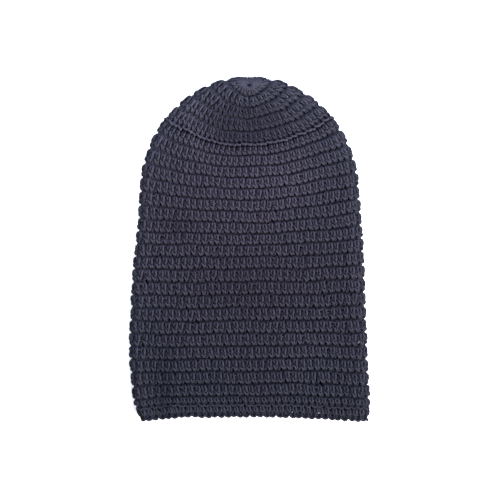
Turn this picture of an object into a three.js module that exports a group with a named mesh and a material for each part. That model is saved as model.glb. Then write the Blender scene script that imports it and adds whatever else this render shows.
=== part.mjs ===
// A slouchy beanie crocheted from the crown down, lying by itself on a flat surface.
// Millimetres, +Z up. The origin is on the surface, under the middle of the hat:
// +Y runs from the open mouth to the crown, and +X is to the right, seen from above.
// The hat is one bag of thick wall, pressed into an upper and a lower layer that meet in a soft
// fold all round. Every place on it is given by its round, counted from the crown's middle,
// and by its turn, the share of the way round: 0 at the right fold, 0.25 in the middle of the
// upper layer, 0.5 at the left fold and 0.75 in the middle of the lower layer.

import * as THREE from 'three';

// Driving dimensions.
const wall = 4.4; // thickness of the crocheted fabric at the middle of a round
const foldRadius = 7; // bend of the wall's middle at the folded edge
const crownRounds = 5; // increase rounds, down to the ridge
const bodyRounds = 21; // plain rounds of tall stitches
const brimRounds = 2; // short stitches that finish the mouth
const roundPitch = 12; // height of a tall round
const grooveDepth = 1.1; // of the line between two rounds, on the outside
const grooveShare = 0.22; // of a round, from the line to the band's full thickness
const ridgeHeight = 0.9; // the bead of loops left free at the crown's last round
const ridgeShare = 0.16; // of a round, the bead's width
const pieceGap = 0.3; // between one piece and the next
const archCentre = 50.6; // Y of the widest place of the rounded top
const archHalfWidth = 99; // to the wall's middle
const archHeight = 106.6;
const crownDepth = 7.6; // how far in front of the folded edge the crown's middle lies
const middle = { x: 0.2, y: 0.6 }; // of the hat, in the frame that the tables below use

// Where each round runs: its Y in the middle of the upper layer, at the left and the right
// fold, and in the middle of the lower layer. The rounds between are interpolated.
const roundPlaces = [
  { round: 1, upper: 139.8, left: 154.4, right: 154.6, lower: 152.2 },
  { round: 2, upper: 129.6, left: 149.2, right: 149.8, lower: 141.8 },
  { round: 3, upper: 119.6, left: 140.8, right: 141.8, lower: 130.4 },
  { round: 5, upper: 95.4, left: 118.7, right: 120.5, lower: 106.2 },
  { round: 8, upper: 65.3, left: 78.2, right: 82.8, lower: 71.4 },
  { round: 12, upper: 23.9, left: 28.5, right: 33.1, lower: 25.0 },
  { round: 15, upper: -7.4, left: -6.4, right: -3.2, lower: -9.8 },
  { round: 20, upper: -66.2, left: -66.2, right: -64.4, lower: -67.8 },
  { round: 24, upper: -112.2, left: -114.1, right: -113.2, lower: -113.4 },
  { round: 26, upper: -134.3, left: -138.0, right: -137.4, lower: -135.6 },
  { round: 27, upper: -142.6, left: -146.3, right: -147.0, lower: -143.2 },
  { round: 28, upper: -152.7, left: -156.4, right: -158.0, lower: -152.2 },
];

// How far the wall's middle at the folded edges stands from the hat's middle, below the
// rounded top.
const sidePlaces = [
  { y: 50.6, left: 99.0, right: 99.0 },
  { y: 21.2, left: 101.0, right: 101.6 },
  { y: -19.3, left: 105.4, right: 103.8 },
  { y: -56.1, left: 107.4, right: 105.2 },
  { y: -88.3, left: 108.8, right: 106.4 },
  { y: -120.5, left: 106.8, right: 107.8 },
  { y: -143.0, left: 103.8, right: 109.2 },
  { y: -158.0, left: 98.0, right: 107.6 },
];

// Soft dents and swellings of the upper layer: middle, reach either way, and rise.
const reliefPlaces = [
  { x: -8, y: 114, reachX: 36, reachY: 17, rise: -3.4 }, // dent under the crown's middle
  { x: -50, y: 116, reachX: 13, reachY: 26, rise: 1.5 }, // crest of the crease beside it
  { x: 34, y: 62, reachX: 30, reachY: 26, rise: 0.9 },
  { x: -66, y: 22, reachX: 15, reachY: 13, rise: -1.2 },
  { x: -14, y: -30, reachX: 44, reachY: 30, rise: -1.0 },
  { x: -79, y: -128, reachX: 8, reachY: 34, rise: -1.6 }, // crease at the left of the mouth
  { x: 52, y: -104, reachX: 26, reachY: 30, rise: 0.8 },
];

// Mesh fineness.
const foldColumns = 6; // facets round each fold
const layerColumns = 14; // facets across each layer
const centreRows = [0.2, 0.4, 0.55, 0.7, 0.85]; // of the crown's first round, which bends over the fold
const curveSteps = 240; // used to measure along a round
const slopeStep = 0.002; // in rounds and turns, for the wall's direction

const upperMiddle = 0.25; // turn
const bandOut = wall / 2;
const grooveOut = bandOut - grooveDepth;
const ridgeOut = bandOut + ridgeHeight;
const trim = pieceGap / 2 / roundPitch; // half the gap between two pieces, in rounds

// A smooth curve through the rows of a table, read at any value of the column named key.
function readTable(table, key, column, at) {
  const rising = Math.sign(table[1][key] - table[0][key]);
  const found = table.findIndex((entry) => (entry[key] - at) * rising >= 0);
  const row = found < 0 ? table.length - 1 : Math.max(found, 1);
  const entryAt = (i) => table[Math.min(Math.max(i, 0), table.length - 1)];
  const [before, from, to, after] = [row - 2, row - 1, row, row + 1].map(entryAt);
  const span = to[key] - from[key];
  const rise = (a, b) => ((b[column] - a[column]) / (b[key] - a[key])) * span;
  const riseFrom = rise(before === from ? from : before, to);
  const riseTo = rise(from, after === to ? to : after);
  const t = (at - from[key]) / span;
  const eased = from[column] + (to[column] - from[column]) * t * t * (3 - 2 * t);
  return eased + t * (1 - t) * ((1 - t) * riseFrom - t * riseTo);
}

// The folded edge's X at a height Y, on the side named left or right.
function edgeX(y, side) {
  if (y <= archCentre) return readTable(sidePlaces, 'y', side, y);
  const share = (y - archCentre) / archHeight;
  return archHalfWidth * Math.sqrt(Math.max(0, 1 - share ** 2));
}

// The folded edge's Y above a place X of the rounded top.
function archY(x) {
  return archCentre + archHeight * Math.sqrt(Math.max(0, 1 - (x / archHalfWidth) ** 2));
}

// How far a place of either layer lies inside the folded edge.
function insetOf(x, y) {
  if (y <= archCentre) return edgeX(y, x < 0 ? 'left' : 'right') - Math.abs(x);
  const share = Math.hypot(x / archHalfWidth, (y - archCentre) / archHeight);
  return share === 0 ? archHalfWidth : Math.hypot(x, y - archCentre) * (1 / share - 1);
}

function reliefOf(x, y) {
  return reliefPlaces.reduce((sum, place) => {
    const away = ((x - place.x) / place.reachX) ** 2 + ((y - place.y) / place.reachY) ** 2;
    return sum + place.rise * Math.exp(-away);
  }, 0);
}

// The wall's middle at a place of the upper or the lower layer. The relief fades out towards
// the fold.
function onLayer(x, y, isUpper) {
  const share = Math.min(Math.max(insetOf(x, y) / foldRadius, 0), 1);
  const lift = Math.sqrt(share * (2 - share));
  const foldHeight = wall / 2 + foldRadius;
  if (!isUpper) return new THREE.Vector3(x, y, foldHeight - foldRadius * lift);
  return new THREE.Vector3(x, y, foldHeight + foldRadius * lift + reliefOf(x, y) * lift ** 4);
}

// One round from the right fold over the upper layer and back under the lower one, as points
// with the turn of each. Rounds nearer the crown's middle than the first are the first one
// drawn together towards that middle, and so pass over the folded edge.
function measureRound(round) {
  const read = (column) => readTable(roundPlaces, 'round', column, Math.max(round, 1));
  const drawn = Math.min(round, 1);
  const [leftY, rightY] = [read('left'), read('right')];
  const [leftX, rightX] = [-edgeX(leftY, 'left'), edgeX(rightY, 'right')];
  const points = [];
  for (let step = 0; step <= 2 * curveSteps; step++) {
    const isUpper = step <= curveSteps;
    const across = Math.cos((Math.PI * step) / curveSteps); // 1 at the right fold, -1 at the left
    const share = (1 + across) / 2;
    const dip = read(isUpper ? 'upper' : 'lower') - (leftY + rightY) / 2;
    const x = leftX + (rightX - leftX) * share;
    const y = leftY + (rightY - leftY) * share + dip * (1 - across ** 2);
    const inFront = (archY(x) - y) * (isUpper ? 1 : -1);
    const drawnFront = crownDepth + (inFront - crownDepth) * drawn;
    if (drawn === 1) points.push(onLayer(x, y, isUpper));
    else points.push(onLayer(x * drawn, archY(x * drawn) - Math.abs(drawnFront), drawnFront >= 0));
  }
  const along = [0];
  for (let i = 1; i < points.length; i++) {
    along.push(along[i - 1] + points[i].distanceTo(points[i - 1]));
  }
  const [upperLength, length] = [along[curveSteps], along.at(-1)];
  const turnOf = (l) => (l < upperLength ? l / upperLength : 1 + (l - upperLength) / (length - upperLength)) / 2;
  return { points, turns: along.map(turnOf), length };
}

const measuredRounds = new Map();

function roundAt(round) {
  if (!measuredRounds.has(round)) measuredRounds.set(round, measureRound(round));
  return measuredRounds.get(round);
}

// The wall's middle at a round and a turn.
function wallMiddle(round, turn) {
  const { points, turns } = roundAt(round);
  const wanted = turn - Math.floor(turn);
  let [low, high] = [0, turns.length - 1];
  while (high - low > 1) {
    const between = (low + high) >> 1;
    if (turns[between] <= wanted) low = between;
    else high = between;
  }
  const share = (wanted - turns[low]) / (turns[high] - turns[low]);
  return points[low].clone().lerp(points[high], share);
}

// A point beside the wall's middle, by out millimetres towards the outside of the hat. What
// would reach under the surface that the hat lies on is pressed flat on it.
function besideWall(round, turn, out) {
  const above = wallMiddle(Math.max(round - slopeStep, slopeStep), turn);
  const towardsMouth = wallMiddle(round + slopeStep, turn).sub(above);
  const onwards = wallMiddle(round, turn + slopeStep).sub(wallMiddle(round, turn - slopeStep));
  const outwards = onwards.cross(towardsMouth).normalize();
  const point = wallMiddle(round, turn).addScaledVector(outwards, out);
  return new THREE.Vector3(point.x - middle.x, point.y - middle.y, Math.max(point.z, 0));
}

// The turns at which a round is cut into facets, close together round the two folds.
function columnTurns(round) {
  const foldLength = Math.PI * foldRadius * 0.6;
  const fold = Math.min(foldLength / roundAt(round).length, 0.12);
  const layer = 0.5 - 2 * fold;
  return [0, 0.5].flatMap((side) => [
    ...Array.from({ length: foldColumns }, (_, i) => side - fold + (2 * fold * i) / foldColumns),
    ...Array.from({ length: layerColumns }, (_, i) => side + fold + (layer * i) / layerColumns),
  ]);
}

// The outside of the rounds from first to last, as rows of round and out. Each round is a band
// between two grooves.
function outsideRows(first, last) {
  const rows = [];
  for (let round = first; round < last; round++) {
    rows.push([round, grooveOut], [round + grooveShare, bandOut], [round + 1 - grooveShare, bandOut]);
  }
  return [...rows, [last, grooveOut]];
}

function insideRows(first, last) {
  return Array.from({ length: last - first + 1 }, (_, i) => [last - i, -bandOut]);
}

// The two triangles of a four-sided facet whose corners a, b, c and d go round it, cut along
// its shorter diagonal.
function cutFacet(points, a, b, c, d) {
  const acrossAC = points[a].distanceTo(points[c]);
  const acrossBD = points[b].distanceTo(points[d]);
  return acrossAC <= acrossBD ? [a, b, c, a, c, d] : [a, b, d, b, c, d];
}

// A closed body through rows of round and out that run down the outside and up the inside.
// With poles, which are places on the crown's middle, the first and the last ring close on them.
function bodyThrough(rows, poles = []) {
  const ringOf = ([round, out]) => columnTurns(round).map((turn) => besideWall(round, turn, out));
  const points = rows.flatMap(ringOf);
  const columns = points.length / rows.length;
  const lastRing = points.length - columns;
  const [startPole, endPole] = [points.length, points.length + 1];
  points.push(...poles.map((out) => besideWall(slopeStep, upperMiddle, out)));
  const faces = [];
  for (let column = 0; column < columns; column++) {
    const next = (column + 1) % columns;
    for (let above = 0; above < lastRing; above += columns) {
      const below = above + columns;
      faces.push(...cutFacet(points, above + column, above + next, below + next, below + column));
    }
    if (poles.length) faces.push(startPole, next, column, endPole, lastRing + column, lastRing + next);
    else faces.push(...cutFacet(points, lastRing + column, lastRing + next, next, column));
  }
  const geometry = new THREE.BufferGeometry().setFromPoints(points);
  geometry.setIndex(faces);
  geometry.computeVertexNormals();
  return geometry;
}

function pieceOf(name, geometry, color) {
  const yarn = new THREE.MeshStandardMaterial({ color, roughness: 0.92, metalness: 0 });
  const mesh = new THREE.Mesh(geometry, yarn);
  mesh.name = name;
  return mesh;
}

// The closed top, which ends in the raised bead of free loops.
function makeCrown() {
  const last = crownRounds - trim;
  const rows = [
    ...centreRows.map((round) => [round, bandOut]),
    ...outsideRows(1, crownRounds).slice(0, -1),
    [crownRounds - ridgeShare, ridgeOut],
    [last, ridgeOut],
    [last, -bandOut],
    ...insideRows(1, crownRounds - 1),
    ...centreRows.toReversed().map((round) => [round, -bandOut]),
  ];
  return bodyThrough(rows, [bandOut, -bandOut]);
}

// The tube of plain rounds, trimmed at both ends to keep the gap to its neighbours.
function makeBody(first, last) {
  const rows = [
    [first + trim, grooveOut],
    ...outsideRows(first, last).slice(1, -1),
    [last - trim, grooveOut],
    [last - trim, -bandOut],
    ...insideRows(first + 1, last - 1),
    [first + trim, -bandOut],
  ];
  return bodyThrough(rows);
}

// The edging, with the corners of its free edge taken off.
function makeBrim(first, last) {
  const rows = [
    [first + trim, grooveOut],
    ...outsideRows(first, last).slice(1),
    [last, -grooveOut],
    [last - grooveShare, -bandOut],
    ...insideRows(first + 1, last - 1),
    [first + trim, -bandOut],
  ];
  return bodyThrough(rows);
}

const bodyEnd = crownRounds + bodyRounds;
const beanie = new THREE.Group();
beanie.add(pieceOf('crown', makeCrown(), 0x3f4150));
beanie.add(pieceOf('body', makeBody(crownRounds, bodyEnd), 0x3a3a48));
beanie.add(pieceOf('brim', makeBrim(bodyEnd, bodyEnd + brimRounds), 0x31333e));

export default beanie;
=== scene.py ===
# Slouchy crocheted beanie lying flat. Every stitch is laid as real yarn along a charted path.
import math

import bpy
import numpy as np
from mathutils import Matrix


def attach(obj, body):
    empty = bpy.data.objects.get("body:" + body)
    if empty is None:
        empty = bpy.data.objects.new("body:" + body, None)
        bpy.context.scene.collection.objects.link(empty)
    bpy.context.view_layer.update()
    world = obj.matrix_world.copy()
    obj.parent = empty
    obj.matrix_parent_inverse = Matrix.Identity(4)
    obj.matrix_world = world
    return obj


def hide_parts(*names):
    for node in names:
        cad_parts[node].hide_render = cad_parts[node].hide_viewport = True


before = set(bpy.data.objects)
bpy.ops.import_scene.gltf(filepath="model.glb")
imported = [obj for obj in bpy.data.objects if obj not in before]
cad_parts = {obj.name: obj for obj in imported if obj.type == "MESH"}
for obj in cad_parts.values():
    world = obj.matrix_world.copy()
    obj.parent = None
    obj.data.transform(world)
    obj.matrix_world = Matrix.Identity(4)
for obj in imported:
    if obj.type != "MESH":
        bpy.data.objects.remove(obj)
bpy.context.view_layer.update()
mm = 0.001
rng = np.random.default_rng(41)

# The hat's form, in mm: the same driving sizes and tables as the CAD solids.
hatShape = {
    "wall": 4.4,            # fabric thickness
    "foldRadius": 7.0,      # bend of the wall's middle at the folded edge
    "archCentre": 50.6,     # Y of the widest place of the rounded top
    "archHalfWidth": 99.0,
    "archHeight": 106.6,
    "crownDepth": 7.6,      # the crown's middle lies this far in front of the folded edge
    "middle": (0.2, 0.6),   # of the hat, in the frame of the tables
    "crownRounds": 5,
    "bodyRounds": 21,
    "brimRounds": 2,
}
# round, then Y in the upper layer's middle, at the left fold, the right fold, in the lower layer
roundPlaces = np.array([
    (1, 139.8, 154.4, 154.6, 152.2),
    (2, 129.6, 149.2, 149.8, 141.8),
    (3, 119.6, 140.8, 141.8, 130.4),
    (5, 95.4, 118.7, 120.5, 106.2),
    (8, 65.3, 78.2, 82.8, 71.4),
    (12, 23.9, 28.5, 33.1, 25.0),
    (15, -7.4, -6.4, -3.2, -9.8),
    (20, -66.2, -66.2, -64.4, -67.8),
    (24, -112.2, -114.1, -113.2, -113.4),
    (26, -134.3, -138.0, -137.4, -135.6),
    (27, -142.6, -146.3, -147.0, -143.2),
    (28, -152.7, -156.4, -158.0, -152.2),
])
# Y, then how far the left and the right fold stand from the middle
sidePlaces = np.array([
    (-158.0, 98.0, 107.6),
    (-143.0, 103.8, 109.2),
    (-120.5, 106.8, 107.8),
    (-88.3, 108.8, 106.4),
    (-56.1, 107.4, 105.2),
    (-19.3, 105.4, 103.8),
    (21.2, 101.0, 101.6),
    (50.6, 99.0, 99.0),
])
# soft dents and swellings of the upper layer: x, y, reach in x and in y, rise
reliefPlaces = np.array([
    (-8, 114, 36, 17, -3.4),
    (-50, 116, 13, 26, 1.5),
    (34, 62, 30, 26, 0.9),
    (-66, 22, 15, 13, -1.2),
    (-14, -30, 44, 30, -1.0),
    (-79, -128, 8, 34, -1.6),
    (52, -104, 26, 30, 0.8),
])


def readTable(table, column, at):
    # smooth curve through a table's rows; the first column is the key
    keys, values = table[:, 0], table[:, column]
    last = len(keys) - 1
    row = int(np.clip(np.searchsorted(keys, at), 1, last))
    before, after = max(row - 2, 0), min(row + 1, last)
    span = keys[row] - keys[row - 1]
    riseFrom = (values[row] - values[before]) / (keys[row] - keys[before]) * span
    riseTo = (values[after] - values[row - 1]) / (keys[after] - keys[row - 1]) * span
    t = (at - keys[row - 1]) / span
    eased = values[row - 1] + (values[row] - values[row - 1]) * t * t * (3 - 2 * t)
    return eased + t * (1 - t) * ((1 - t) * riseFrom - t * riseTo)


# the sides, read off every half millimetre from below the hem
sideYs = np.linspace(-175, hatShape["archCentre"], 452)
sideXs = {
    side: np.array([readTable(sidePlaces, column, y) for y in sideYs])
    for side, column in ((-1, 1), (1, 2))
}


def edgeX(y, side):
    # the folded edge's distance from the middle at a height Y
    above = (np.asarray(y) - hatShape["archCentre"]) / hatShape["archHeight"]
    arch = hatShape["archHalfWidth"] * np.sqrt(np.clip(1 - above ** 2, 0, None))
    return np.where(above > 0, arch, np.interp(y, sideYs, sideXs[side]))


def archY(x):
    rise = np.sqrt(np.clip(1 - (x / hatShape["archHalfWidth"]) ** 2, 0, None))
    return hatShape["archCentre"] + hatShape["archHeight"] * rise


def insetOf(x, y):
    # how far a place lies inside the folded edge
    above = y - hatShape["archCentre"]
    share = np.hypot(x / hatShape["archHalfWidth"], above / hatShape["archHeight"])
    inArch = np.hypot(x, above) * (1 / np.maximum(share, 1e-6) - 1)
    below = np.where(x < 0, edgeX(y, -1), edgeX(y, 1)) - np.abs(x)
    return np.where(above > 0, inArch, below)


def onLayer(x, y, isUpper):
    # the wall's middle at a place of either layer
    share = np.clip(insetOf(x, y) / hatShape["foldRadius"], 0, 1)
    lift = np.sqrt(share * (2 - share))
    relief = sum(rise * np.exp(-((x - px) / reachX) ** 2 - ((y - py) / reachY) ** 2)
                 for px, py, reachX, reachY, rise in reliefPlaces)
    foldHeight = hatShape["wall"] / 2 + hatShape["foldRadius"]
    upper = foldHeight + hatShape["foldRadius"] * lift + relief * lift ** 4
    lower = foldHeight - hatShape["foldRadius"] * lift
    return np.stack([x, y, np.where(isUpper, upper, lower)], axis=-1)


def measureRound(roundAt, turnCount):
    # one round as evenly turned points: right fold, upper layer, left fold, lower layer
    steps = 240
    drawn = min(roundAt, 1)
    upperY, leftY, rightY, lowerY = (readTable(roundPlaces, c, max(roundAt, 1)) for c in (1, 2, 3, 4))
    leftX, rightX = -edgeX(leftY, -1), edgeX(rightY, 1)
    step = np.arange(2 * steps + 1)
    isUpper = step <= steps
    across = np.cos(math.pi * step / steps)
    share = (1 + across) / 2
    x = leftX + (rightX - leftX) * share
    dip = np.where(isUpper, upperY, lowerY) - (leftY + rightY) / 2
    y = leftY + (rightY - leftY) * share + dip * (1 - across ** 2)
    if drawn < 1:
        inFront = (archY(x) - y) * np.where(isUpper, 1, -1)
        drawnFront = hatShape["crownDepth"] + (inFront - hatShape["crownDepth"]) * drawn
        x = x * drawn
        y = archY(x) - np.abs(drawnFront)
        isUpper = drawnFront >= 0
    points = onLayer(x, y, isUpper)
    along = np.concatenate([[0], np.cumsum(np.linalg.norm(np.diff(points, axis=0), axis=1))])
    half, whole = along[steps], along[-1]
    turns = np.where(step <= steps, along / half, 1 + (along - half) / (whole - half)) / 2
    wanted = np.arange(turnCount) / turnCount
    return np.stack([np.interp(wanted, turns, points[:, axis]) for axis in range(3)], axis=-1)


gridSteps = 16        # rings to a round
turnSteps = 1024      # places round a ring
firstRing = 0.01      # of a round, because the middle itself has no direction
print("measuring the hat's form")
lastRound = hatShape["crownRounds"] + hatShape["bodyRounds"] + hatShape["brimRounds"]
gridRounds = np.arange(0, (lastRound + 0.5) * gridSteps) / gridSteps
gridRounds[0] = firstRing
hatGrid = np.stack([measureRound(r, turnSteps) for r in gridRounds])
alongGrid = np.roll(hatGrid, -1, axis=1) - np.roll(hatGrid, 1, axis=1)
downGrid = np.gradient(hatGrid, axis=0)
outGrid = np.cross(alongGrid, downGrid)
outGrid /= np.linalg.norm(outGrid, axis=-1, keepdims=True)


def readGrid(grid, row, column):
    row = np.clip(row, 0, len(grid) - 1.001)
    r0 = np.floor(row).astype(int)
    c0 = np.floor(column).astype(int)
    rt, ct = (row - r0)[..., None], (column - c0)[..., None]
    c0, c1 = c0 % turnSteps, (c0 + 1) % turnSteps
    upper = grid[r0, c0] * (1 - ct) + grid[r0, c1] * ct
    lower = grid[r0 + 1, c0] * (1 - ct) + grid[r0 + 1, c1] * ct
    return upper * (1 - rt) + lower * rt


# slow waver of the lines between rounds, in rounds: waves round the hat, phase a round, size
roundWaver = [
    (3, 0.35, 0.030),
    (5, -0.52, 0.028),
    (8, 0.81, 0.022),
    (13, 1.7, 0.018),
    (21, -2.3, 0.012),
]


def placeOnHat(place):
    # (round, turn, out in mm) to the hat's frame in mm
    roundAt, turn, out = place[..., 0], place[..., 1], place[..., 2]
    waver = sum(size * np.sin(2 * math.pi * waves * turn + phase * roundAt)
                for waves, phase, size in roundWaver)
    waver = waver * np.clip(roundAt - 1, 0, 1)
    row, column = (roundAt + waver) * gridSteps, turn * turnSteps
    out3 = readGrid(outGrid, row, column)
    out3 /= np.linalg.norm(out3, axis=-1, keepdims=True)
    point = readGrid(hatGrid, row, column) + out3 * out[..., None]
    return point - np.array([*hatShape["middle"], 0])


# Charts of one stitch, as it is worked: ahead (mm, the way the work runs), up (share of the
# round's height), out (mm from the wall's middle) and the sections to the next point.
tallStitch = [
    (-4.9, 0.86, -1.6, 1),   # from the last stitch's top, slack in the gap
    (-3.7, 0.79, -0.7, 1),
    (-3.6, 0.66, -1.2, 1),
    (-3.6, 0.45, -1.9, 1),
    (-3.2, 0.25, -2.3, 1),
    (-3.1, 0.54, -0.6, 1),   # yarn over: slants down across the post
    (-2.2, 0.58, 0.9, 2),
    (-1.1, 0.67, 1.5, 2),
    (-0.4, 0.77, 1.1, 2),
    (-0.1, 0.82, 0.0, 1),
    (0.2, 0.64, -1.6, 1),    # up behind
    (0.3, 0.32, -1.8, 1),
    (0.1, 0.11, -1.6, 1),    # through the hole under the last round's V
    (-0.6, 0.09, -0.6, 1),
    (-1.6, 0.16, 0.9, 2),    # left leg: the stitch's shoulder, then sunk
    (-1.6, 0.27, 0.8, 1),
    (-1.1, 0.41, 0.1, 1),
    (0.1, 0.52, 0.3, 1),     # the loop's bend
    (1.2, 0.51, 1.5, 2),     # right leg, raised
    (1.15, 0.34, 1.8, 2),
    (0.9, 0.17, 1.5, 2),
    (0.5, 0.10, -0.2, 1),
    (0.5, 0.14, -1.4, 1),    # down behind and forward again
    (0.4, 0.48, -1.4, 1),
    (0.9, 0.58, 0.0, 1),     # upper loop
    (1.2, 0.66, 1.0, 2),
    (0.9, 0.75, 1.0, 1),
    (0.4, 0.82, -0.1, 1),
    (0.1, 0.82, -1.6, 1),
    (0.4, 1.00, -2.2, 1),    # the V on top, front leg
    (1.2, 1.14, -0.2, 1),
    (2.6, 1.19, 0.5, 1),
    (4.4, 1.18, 0.3, 1),
    (5.6, 1.08, -1.3, 1),
    (4.4, 0.99, -2.6, 1),    # back leg
    (2.2, 0.99, -2.6, 1),
]
shortStitch = [
    (-4.6, 0.74, -1.2, 1),
    (-3.6, 0.44, -1.2, 1),
    (-1.6, 0.18, -1.6, 1),
    (-0.7, 0.12, -0.3, 1),
    (-1.5, 0.24, 0.9, 2),    # left leg
    (-1.4, 0.46, 0.8, 2),
    (-0.1, 0.62, 0.4, 1),    # the loop's bend
    (1.2, 0.52, 1.4, 2),     # right leg
    (1.1, 0.28, 1.5, 2),
    (0.6, 0.12, 0.1, 1),
    (0.5, 0.25, -1.6, 1),
    (-0.2, 0.62, -1.3, 1),
    (-0.4, 0.84, 0.0, 1),    # the V on top, front leg
    (0.8, 0.98, 0.6, 2),
    (2.8, 1.07, 0.9, 2),
    (4.8, 1.04, 0.4, 1),
    (5.6, 0.92, -0.9, 1),
    (4.4, 0.98, -1.6, 1),    # back leg
    (2.2, 0.98, -1.8, 1),
]
stitchSizes = {
    "pitch": 6.2,           # mm, one stitch along a round
    "roundHeight": 11,      # mm, a tall stitch
    "yarnRadius": 0.92,     # mm
    "slack": 0.9,           # how much fuller the yarn lies where it is loose behind
    "slackDepth": 1.6,      # mm behind the wall's middle where it is fullest
    "sides": 6,             # of the yarn's section
    "crownStart": 0.06,     # share of a round left at the crown's middle
    "besideV": -0.6,        # in pitches, a stitch stands in the V between two below it
    "pairCentre": 0.4,      # where two stitches share one V, they stand either side of this
    "pairSpread": 0.35,
    "leanCurve": 1.3,       # a stitch that leans does so mostly near its base
    "legReach": 2,          # mm, the part of a chart that widens with its stitch
    "jitterWide": 0.07,     # of a stitch's width
    "jitterAlong": 0.34,    # mm
    "jitterUp": 0.023,      # of a round
    "jitterOut": 0.18,      # mm
    "tiltJitter": 0.09,     # mm sideways per mm of height, over one stitch
    "strandAlong": 0.13,    # mm, each strand by itself
    "strandUp": 0.008,      # of a round
    "strandOut": 0.1,       # mm
}
# at a folded edge the wall is taut, so the stitches lie flatter and closer there
tautFold = {
    "reach": 16.0,          # mm either side of the fold
    "full": 1.3,            # how far past fully taut the fold itself is
    "flatter": 0.3,         # share of the relief that is lost
    "outward": 0.6,         # mm
    "mostOut": 4,           # mm, the highest yarn away from the fold
    "press": 2,             # mm less at the fold
    "fuller": 0.22,         # share by which the yarn spreads
}
ridgeLoops = {
    "backRows": 2,          # the V's back leg: rows at the end of a chart
    "frontRows": 5,         # its front leg: rows before them
    "up": 0.98,             # share of the round
    "upRise": 0.02,         # for each mm ahead
    "out": 1.7,             # mm
    "outRise": 0.3,         # mm for each mm ahead, which gives the line its twist
    "sections": 2,
}
behindRidge = {
    "lowBase": 0.3,         # share of the round that counts as the stitch's base
    "lower": 0.05,
    "hiddenBase": 0.2,      # share that goes behind the ridge
    "deeper": 1.1,          # mm
}


def chartRidge(chart):
    # the last crown round keeps its front legs free: they stand out as a twisted ridge
    ridge = ridgeLoops
    backAt = len(chart) - ridge["backRows"]
    frontAt = backAt - ridge["frontRows"]
    raised = []
    for ahead, up, out, sections in chart[frontAt:backAt]:
        up = ridge["up"] + ridge["upRise"] * ahead
        out = ridge["out"] + ridge["outRise"] * ahead
        raised.append((ahead, up, out, ridge["sections"]))
    return chart[:frontAt] + raised + chart[backAt:]


def chartBehind(chart):
    # the round after the ridge comes out from behind it, worked under the back legs alone
    behind = behindRidge
    tucked = []
    for ahead, up, out, sections in chart:
        lowered = behind["lower"] * (up < behind["lowBase"])
        shadedColour = behind["deeper"] * (up < behind["hiddenBase"])
        tucked.append((ahead, up + lowered, out - shadedColour, sections))
    return tucked


def sampleChart(chart):
    # which control point each section follows, and how far on
    owner = [i for i, row in enumerate(chart) for _ in range(row[3])]
    share = [k / row[3] for row in chart for k in range(row[3])]
    return np.array(owner), np.array(share)[:, None]


def jitterStitches(chart, count):
    # every stitch of a round, a little unlike the others: ahead, up and out of each control point
    size = stitchSizes
    ahead, up, out = (np.array([row[i] for row in chart]) for i in range(3))
    wide = 1 + rng.normal(0, size["jitterWide"], (count, 1))
    along = ahead * np.where(np.abs(ahead) < size["legReach"], wide, 1)
    along = along + rng.normal(0, size["jitterAlong"], (count, 1))
    upShares = up + rng.normal(0, size["jitterUp"], (count, 1))
    upShares = upShares + rng.normal(0, size["strandUp"], (count, len(chart)))
    tilt = rng.normal(0, size["tiltJitter"], (count, 1))
    along = along + tilt * (upShares - 0.5) * size["roundHeight"]
    along = along + rng.normal(0, size["strandAlong"], along.shape)
    outs = out + rng.normal(0, size["jitterOut"], (count, 1))
    outs = outs + rng.normal(0, size["strandOut"], along.shape)
    return along, upShares, outs


def layRound(chart, roundIndex, count, topTurns, baseTurns, start=0.0):
    # the yarn through one whole round: middle and radius, as (stitch, section, 4) in mm
    size, fold = stitchSizes, tautFold
    along, upShares, outs = jitterStitches(chart, count)
    foldTurns = np.abs((2 * topTurns + 0.5) % 1 - 0.5) / 2
    foldReach = foldTurns * count * size["pitch"] / fold["reach"]
    taut = np.clip(fold["full"] - foldReach, 0, 1)[:, None]
    flattened = outs * (1 - fold["flatter"] * taut) + fold["outward"] * taut
    outs = np.minimum(flattened, fold["mostOut"] - fold["press"] * taut)
    lean = (baseTurns - topTurns)[:, None] * np.clip(1 - upShares, 0, 1) ** size["leanCurve"]
    turn = topTurns[:, None] - along / size["pitch"] / count + lean
    rounds = roundIndex + start + (1 - start) * upShares
    control = np.stack([rounds, turn, outs], axis=-1)
    lap = np.array([0, 1, 0])
    closed = [control[-1:] + lap, control, control[:1] - lap, control[1:2] - lap]
    flat = np.concatenate(closed).reshape(-1, 3)
    owner, t = sampleChart(chart)
    index = (np.arange(count)[:, None] + 1) * len(chart) + owner
    p0, p1, p2, p3 = (flat[index + k] for k in (-1, 0, 1, 2))
    # Catmull-Rom through the control points
    curve = 0.5 * (2 * p1 + (p2 - p0) * t + (2 * p0 - 5 * p1 + 4 * p2 - p3) * t ** 2
                   + (3 * p1 - p0 - 3 * p2 + p3) * t ** 3)
    slack = 1 + size["slack"] * np.clip(-curve[..., 2:] / size["slackDepth"], 0, 1)
    radius = size["yarnRadius"] * slack * (1 + fold["fuller"] * taut[..., None])
    return np.concatenate([placeOnHat(curve), radius], axis=-1)


anyDirection = [0.3, 0.2, 1.0]      # to start a frame with: no yarn runs just this way
restHeight = 0.05                   # mm, the lowest yarn lies this far over the floor


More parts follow.
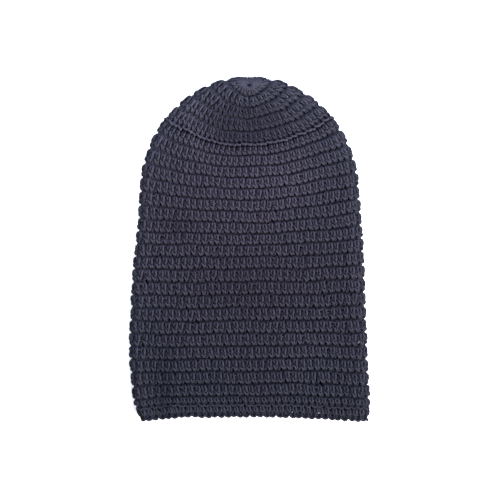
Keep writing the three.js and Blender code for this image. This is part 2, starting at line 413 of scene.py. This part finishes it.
def frameAlong(points):
    # a frame that doesn't twist, carried along closed curves (curve, point, 3)
    tangent = np.roll(points, -1, axis=1) - np.roll(points, 1, axis=1)
    tangent /= np.linalg.norm(tangent, axis=-1, keepdims=True)
    first = np.cross(tangent[:, 0], anyDirection)
    first /= np.linalg.norm(first, axis=-1, keepdims=True)
    normal = np.empty_like(points)
    normal[:, 0] = first
    now = first
    for i in range(1, points.shape[1] + 1):
        t = tangent[:, i % points.shape[1]]
        now = now - (now * t).sum(-1, keepdims=True) * t
        now /= np.linalg.norm(now, axis=-1, keepdims=True)
        if i < points.shape[1]:
            normal[:, i] = now
    side = np.cross(tangent[:, 0], first)
    missed = np.arctan2((now * side).sum(-1), (now * first).sum(-1))
    turnBack = -missed[:, None] * np.arange(points.shape[1]) / points.shape[1]
    binormal = np.cross(tangent, normal)
    c, s = np.cos(turnBack)[..., None], np.sin(turnBack)[..., None]
    return normal * c + binormal * s, binormal * c - normal * s


def sweepYarn(rounds):
    # rounds of (stitch, section, 4) into one set of vertices and faces, with two UV maps
    sides = stitchSizes["sides"]
    angles = 2 * math.pi * np.arange(sides) / sides
    vertices, faces, yarnUvs, cells = [], [], [], []
    offset, cell = 0, 0
    for points in rounds:
        stitches, sections = points.shape[:2]
        curve = points[..., :3].reshape(-1, 3)
        normal, binormal = (v[0] for v in frameAlong(curve[None]))
        total = len(curve)
        radius = points[..., 3].reshape(-1, 1, 1)
        ring = np.cos(angles)[:, None] * normal[:, None] + np.sin(angles)[:, None] * binormal[:, None]
        tube = curve[:, None] + radius * ring
        tube[..., 2] = np.maximum(tube[..., 2], restHeight)   # pressed flat where it rests
        vertices.append(tube.reshape(-1, 3))
        t, j = np.meshgrid(np.arange(total), np.arange(sides), indexing="ij")
        t1, j1 = (t + 1) % total, (j + 1) % sides
        corners = [t * sides + j, t * sides + j1, t1 * sides + j1, t1 * sides + j]
        faces.append(np.stack(corners, axis=-1).reshape(-1, 4) + offset)
        steps = np.linalg.norm(np.roll(curve, -1, axis=0) - curve, axis=1)
        length = np.concatenate([[0], np.cumsum(steps)])
        u = np.stack([length[t], length[t], length[t + 1], length[t + 1]], axis=-1)
        v = np.stack([j, j + 1, j + 1, j], axis=-1) / sides
        yarnUvs.append(np.stack([u, v], axis=-1).reshape(-1, 2))
        k = t % sections
        cellU = np.stack([k, k, k + 1, k + 1], axis=-1) / sections
        cellOf = np.repeat((cell + t // sections)[..., None], 4, axis=-1)
        cells.append(np.stack([cellOf, cellU, v], axis=-1).reshape(-1, 3))
        offset += total * sides
        cell += stitches
    return [np.concatenate(part) for part in (vertices, faces, yarnUvs, cells)]


bakeStrips = {
    "length": 60,           # mm of yarn in a stitch, roughly
    "girth": 7,             # mm round it
    "endMargin": 0.01,      # share of a strip's length left free at each end
    "sideMargin": 0.06,     # share of its width
}


def atlasUvs(cells):
    # each stitch's yarn as a strip of its own in a square, none over another
    strip = bakeStrips
    count = int(cells[:, 0].max()) + 1
    columns = max(1, round(math.sqrt(count * strip["girth"] / strip["length"])))
    rows = math.ceil(count / columns)
    column, row = cells[:, 0] % columns, cells[:, 0] // columns
    u = column + strip["endMargin"] + (1 - 2 * strip["endMargin"]) * cells[:, 1]
    v = row + strip["sideMargin"] + (1 - 2 * strip["sideMargin"]) * cells[:, 2]
    return np.stack([u / columns, v / rows], axis=-1)


def makeYarnPiece(name, rounds, material, *nodes):
    vertices, faces, yarnUv, cells = sweepYarn(rounds)
    mesh = bpy.data.meshes.new(name)
    mesh.vertices.add(len(vertices))
    mesh.vertices.foreach_set("co", (vertices * mm).ravel())
    mesh.loops.add(faces.size)
    mesh.loops.foreach_set("vertex_index", faces.ravel().astype(np.int32))
    mesh.polygons.add(len(faces))
    mesh.polygons.foreach_set("loop_start", np.arange(0, faces.size, 4, dtype=np.int32))
    mesh.polygons.foreach_set("use_smooth", np.ones(len(faces), dtype=bool))
    mesh.update(calc_edges=True)
    for mapName, uv in (("yarnLength", yarnUv), ("OFBake", atlasUvs(cells))):
        layer = mesh.uv_layers.new(name=mapName)
        layer.uv.foreach_set("vector", uv.astype(np.float32).ravel())
    mesh.materials.append(material)
    piece = bpy.data.objects.new(name, mesh)
    bpy.context.scene.collection.objects.link(piece)
    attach(piece, "root")
    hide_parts(*nodes)
    print(name, len(faces) * 2, "triangles")
    return piece


def linear(hexColour):
    # sRGB hex to linear RGBA
    parts = [int(hexColour[i:i + 2], 16) / 255 for i in (1, 3, 5)]
    return [p / 12.92 if p <= 0.04045 else ((p + 0.055) / 1.055) ** 2.4 for p in parts] + [1]


def addNode(tree, kind, settings=None, inputs=None):
    # one node with its settings; each input gets a value or the socket that feeds it
    node = tree.nodes.new(kind)
    for key, value in (settings or {}).items():
        setattr(node, key, value)
    for key, value in (inputs or {}).items():
        if isinstance(value, bpy.types.NodeSocket):
            tree.links.new(value, node.inputs[key])
        else:
            node.inputs[key].default_value = value
    return node


yarnLook = {
    "navy": "#141822",       # the bluer parts of the dye
    "plum": "#191520",       # the warmer, purple-grey parts
    "paintedSheen": "#494655",     # painted sheen on the ply crests and painted highlight on the highest yarn
    "paintedShadeColour": "#ccced6",    # painted shade: what the colour is multiplied by where it is darkest, at the hem
    "dyePatches": 14.0,      # to a metre, so each is about 70 mm across
    "dyeFrom": (0.45, 1.25),            # dye noise plus nearness to the middle, navy to plum
    "plumAndShadeCentre": (0.115, -0.125, 0.0),     # less the place where the plum dye is fullest and the painted shade least, in reaches
    "plumAndShadeReach": (1 / 0.13, 1 / 0.16, 1.0),   # reaches to a metre
    "crestFrom": (0.25, 0.75),          # ply crest times fibre, from no painted sheen to full
    "crestMost": 0.34,
    "proudFrom": (0.0165, 0.0215),      # Z in m, from no painted highlight to full
    "proudMost": 0.62,
    "shadeFrom": (0.15, -0.15),          # Y in m, least painted shade at the crown and most at the hem
    "lessShadeMiddle": -0.4,      # how much less painted shade lies in the hat's middle
    "plies": 3,
    "twistMm": 9.0,          # length of one full turn of the plies
    "fibreMm": 0.35,         # drawn three times coarser than a fibre so that it shows
    "tuft": 4,               # fibres across the widest tuft
    "fibreHeight": 0.35,     # against a ply's
    "bumpMm": 0.35,
    "bumpStrength": 0.9,
    "roughness": 0.9,
    "specular": 0.12,        # loose fibre has hardly any gloss
    "sheen": 0.09,
    "sheenRoughness": 0.5,
    "sheenTint": "#9aa0b8",
}


def makePliedYarn():
    # Plied acrylic-wool yarn, spun and crocheted: matt, with slanting ply grooves, painted sheen that
    # pales the ply crests and the highest yarn, a dye that wanders between navy and plum grey, and painted
    # shade towards the hem and sides.
    look = yarnLook
    material = bpy.data.materials.new("pliedNavyYarn")
    material.use_nodes = True
    tree = material.node_tree
    shader = tree.nodes["Principled BSDF"]
    place = addNode(tree, "ShaderNodeTexCoord").outputs["Object"]
    uv = addNode(tree, "ShaderNodeUVMap", {"uv_map": "yarnLength"}).outputs["UV"]
    parts = addNode(tree, "ShaderNodeSeparateXYZ", {}, {"Vector": uv}).outputs
    # slanting plies: round the yarn plus along it
    slant = addNode(tree, "ShaderNodeMath", {"operation": "MULTIPLY_ADD"},
                    {0: parts["X"], 1: 1 / look["twistMm"], 2: parts["Y"]}).outputs[0]
    plyAngle = addNode(tree, "ShaderNodeMath", {"operation": "MULTIPLY"},
                       {0: slant, 1: math.pi * look["plies"]}).outputs[0]
    plySine = addNode(tree, "ShaderNodeMath", {"operation": "SINE"}, {0: plyAngle}).outputs[0]
    ply = addNode(tree, "ShaderNodeMath", {"operation": "ABSOLUTE"}, {0: plySine}).outputs[0]
    # fibres: fine noise in the hat's own space
    tufts = 1 / (look["fibreMm"] * mm) / look["tuft"]
    fibre = addNode(tree, "ShaderNodeTexNoise", {"noise_dimensions": "3D"},
                    {"Vector": place, "Scale": tufts, "Detail": 3.0, "Roughness": 0.7}).outputs["Fac"]
    # the dye is plum in the hat's middle and wanders to navy round it
    dye = addNode(tree, "ShaderNodeTexNoise", {},
                  {"Vector": place, "Scale": look["dyePatches"], "Detail": 3.0}).outputs["Fac"]
    fromMiddle = {"Vector": place, "Location": look["plumAndShadeCentre"], "Scale": look["plumAndShadeReach"]}
    middle = addNode(tree, "ShaderNodeMapping", {"vector_type": "POINT"}, fromMiddle).outputs["Vector"]
    nearMiddle = addNode(tree, "ShaderNodeTexGradient", {"gradient_type": "SPHERICAL"},
                         {"Vector": middle}).outputs["Fac"]
    dyed = addNode(tree, "ShaderNodeMath", {"operation": "ADD"}, {0: dye, 1: nearMiddle}).outputs[0]
    dyeRange = {"Value": dyed, "From Min": look["dyeFrom"][0], "From Max": look["dyeFrom"][1]}
    dyeShare = addNode(tree, "ShaderNodeMapRange", {}, dyeRange).outputs["Result"]
    base = addNode(tree, "ShaderNodeMix", {"data_type": "RGBA"},
                   {0: dyeShare, 6: linear(look["navy"]), 7: linear(look["plum"])}).outputs[2]
    # painted sheen: the crests of the plies are made paler
    crest = addNode(tree, "ShaderNodeMath", {"operation": "MULTIPLY"}, {0: ply, 1: fibre}).outputs[0]
    crestRange = {"Value": crest, "From Min": look["crestFrom"][0], "From Max": look["crestFrom"][1],
                  "To Max": look["crestMost"]}
    crestShare = addNode(tree, "ShaderNodeMapRange", {}, crestRange).outputs["Result"]
    # painted highlight: the yarn that stands highest is made palest, the ridge above all
    heightZ = addNode(tree, "ShaderNodeSeparateXYZ", {}, {"Vector": place}).outputs["Z"]
    proudRange = {"Value": heightZ, "From Min": look["proudFrom"][0], "From Max": look["proudFrom"][1],
                  "To Max": look["proudMost"]}
    proud = addNode(tree, "ShaderNodeMapRange", {}, proudRange).outputs["Result"]
    paintedSheenShare = addNode(tree, "ShaderNodeMath", {"operation": "ADD", "use_clamp": True},
                          {0: crestShare, 1: proud}).outputs[0]
    # the dye mixed towards the painted sheen colour
    colour = addNode(tree, "ShaderNodeMix", {"data_type": "RGBA"},
                     {0: paintedSheenShare, 6: base, 7: linear(look["paintedSheen"])}).outputs[2]
    # painted shade: darker towards the hem and the sides, lightest at the crown and the middle
    heightY = addNode(tree, "ShaderNodeSeparateXYZ", {}, {"Vector": place}).outputs["Y"]
    shadeRange = {"Value": heightY, "From Min": look["shadeFrom"][0], "From Max": look["shadeFrom"][1]}
    shadeByHeight = addNode(tree, "ShaderNodeMapRange", {}, shadeRange).outputs["Result"]
    paintedShadeShare = addNode(tree, "ShaderNodeMath", {"operation": "MULTIPLY_ADD", "use_clamp": True},
                        {0: nearMiddle, 1: look["lessShadeMiddle"], 2: shadeByHeight}).outputs[0]
    shadedColour = addNode(tree, "ShaderNodeMix", {"data_type": "RGBA", "blend_type": "MULTIPLY"},
                       {0: paintedShadeShare, 6: colour, 7: linear(look["paintedShadeColour"])}).outputs[2]
    tree.links.new(shadedColour, shader.inputs["Base Color"])
    shader.inputs["Roughness"].default_value = look["roughness"]
    shader.inputs["Specular IOR Level"].default_value = look["specular"]
    shader.inputs["Sheen Weight"].default_value = look["sheen"]
    shader.inputs["Sheen Roughness"].default_value = look["sheenRoughness"]
    shader.inputs["Sheen Tint"].default_value = linear(look["sheenTint"])
    height = addNode(tree, "ShaderNodeMath", {"operation": "MULTIPLY_ADD"},
                     {0: fibre, 1: look["fibreHeight"], 2: ply}).outputs[0]
    bump = addNode(tree, "ShaderNodeBump", {}, {"Height": height, "Strength": look["bumpStrength"],
                                                "Distance": look["bumpMm"] * mm})
    tree.links.new(bump.outputs["Normal"], shader.inputs["Normal"])
    return material


crownWork = {
    "added": 12,            # stitches more in each crown round
    "firstTurn": 0.25,      # of the hat, where the first stitch stands
}


def evenTurns(count, first):
    # the work goes round from right to left, seen from its own outside
    return first - np.arange(count) / count


def chartOf(roundIndex):
    # the stitch that a round is worked in
    crownRounds = hatShape["crownRounds"]
    if roundIndex == crownRounds - 1:
        return chartRidge(tallStitch)
    if roundIndex == crownRounds:
        return chartBehind(tallStitch)
    if roundIndex < crownRounds + hatShape["bodyRounds"]:
        return tallStitch
    return shortStitch


def standOn(below, count):
    # top and base of each stitch, in turns, on the stitches of the round below
    size = stitchSizes
    if len(below) == count:
        base = below + size["besideV"] / count
        return base, base
    # an increase: some Vs hold two stitches
    spread = np.arange(count) * len(below)
    pair = (spread % count) / count - size["pairCentre"]
    base = below[spread // count] + (size["besideV"] - size["pairSpread"] * pair) / len(below)
    return evenTurns(count, base[0]), base


def crochetHat():
    # every round's yarn, from the crown's middle down
    rounds = []
    below = None
    for roundIndex in range(lastRound):
        count = crownWork["added"] * (min(roundIndex + 1, hatShape["crownRounds"]) + 1)
        if below is None:
            top = base = evenTurns(count, crownWork["firstTurn"])
            start = stitchSizes["crownStart"]
        else:
            top, base = standOn(below, count)
            start = 0.0
        rounds.append(layRound(chartOf(roundIndex), roundIndex, count, top, base, start))
        below = top
    return rounds


print("crocheting")
yarnMaterial = makePliedYarn()
hatRounds = crochetHat()
bodyStart = hatShape["crownRounds"]
bodyEnd = bodyStart + hatShape["bodyRounds"]
# the body in five lengths, each with its first and last round, so that no mesh grows too large
bodyPieces = {
    "upperBodyYarn": (0, 4),
    "shoulderYarn": (4, 8),
    "middleBodyYarn": (8, 12),
    "lowerBodyYarn": (12, 16),
    "hemBodyYarn": (16, 21),
}
makeYarnPiece("crownYarn", hatRounds[:bodyStart], yarnMaterial, "crown")
for pieceName, (first, last) in bodyPieces.items():
    makeYarnPiece(pieceName, hatRounds[bodyStart + first:bodyStart + last], yarnMaterial, "body")
makeYarnPiece("brimYarn", hatRounds[bodyEnd:], yarnMaterial, "brim")

# Floor, light and camera
studio = {
    "floorColour": "#fbfbfb",
    "floorSize": 6.0,          # m
    "floorRoughness": 0.9,
    "paperGrain": 900.0,       # grains to a metre
    "grainMm": 0.1,
    "grainStrength": 0.05,
    "cameraHeight": 1.15,      # m
    "frameWidth": 0.460,       # m seen across the picture at the hat's height
    "hatHeight": 0.012,        # m
    "aim": (0.0003, -0.0015),  # m, the middle of the picture
    "sky": "#f4f3ff",
    "skyStrength": 1.22,
    "lamps": {                 # place (m), size (m), power (W), colour
        "rightWindow": ((2.0, -1.6, 1.5), 0.8, 270.0, "#fffaf2"),
        "topFill": ((-0.1, 0.6, 0.45), 0.5, 9.0, "#e8f0ff"),
    },
}


def makeFloor():
    # Matt white paper, pulped and rolled: even and glossless, with a grain too fine to see.
    material = bpy.data.materials.new("mattWhitePaper")
    material.use_nodes = True
    shader = material.node_tree.nodes["Principled BSDF"]
    grain = addNode(material.node_tree, "ShaderNodeTexNoise", {},
                    {"Scale": studio["paperGrain"], "Detail": 2.0}).outputs["Fac"]
    bump = addNode(material.node_tree, "ShaderNodeBump", {},
                   {"Height": grain, "Strength": studio["grainStrength"], "Distance": studio["grainMm"] * mm})
    material.node_tree.links.new(bump.outputs["Normal"], shader.inputs["Normal"])
    shader.inputs["Base Color"].default_value = linear(studio["floorColour"])
    shader.inputs["Roughness"].default_value = studio["floorRoughness"]
    half = studio["floorSize"] / 2
    corners = [(-half, -half, 0), (half, -half, 0), (half, half, 0), (-half, half, 0)]
    mesh = bpy.data.meshes.new("floor")
    mesh.from_pydata(corners, [], [(0, 1, 2, 3)])
    mesh.materials.append(material)
    floor = bpy.data.objects.new("floor", mesh)
    bpy.context.scene.collection.objects.link(floor)


def makeLight():
    world = bpy.data.worlds.new("softSky")
    world.use_nodes = True
    background = world.node_tree.nodes["Background"]
    background.inputs["Color"].default_value = linear(studio["sky"])
    background.inputs["Strength"].default_value = studio["skyStrength"]
    bpy.context.scene.world = world
    for name, (place, size, power, colour) in studio["lamps"].items():
        data = bpy.data.lights.new(name, "AREA")
        data.shape = "DISK"
        data.size = size
        data.energy = power
        data.color = linear(colour)[:3]
        lamp = bpy.data.objects.new(name, data)
        lamp.location = place
        x, y, z = place
        lamp.rotation_euler = (math.atan2(math.hypot(x, y), z), 0, math.atan2(y, x) + math.pi / 2)
        bpy.context.scene.collection.objects.link(lamp)


def makeCamera():
    data = bpy.data.cameras.new("overhead")
    data.sensor_width = 36.0
    distance = studio["cameraHeight"] - studio["hatHeight"]
    data.lens = data.sensor_width * distance / studio["frameWidth"]
    camera = bpy.data.objects.new("overhead", data)
    camera.location = (*studio["aim"], studio["cameraHeight"])
    bpy.context.scene.collection.objects.link(camera)
    bpy.context.scene.camera = camera


print("floor, light and camera")
bpy.context.scene.view_settings.view_transform = "Standard"
makeFloor()
makeLight()
makeCamera()
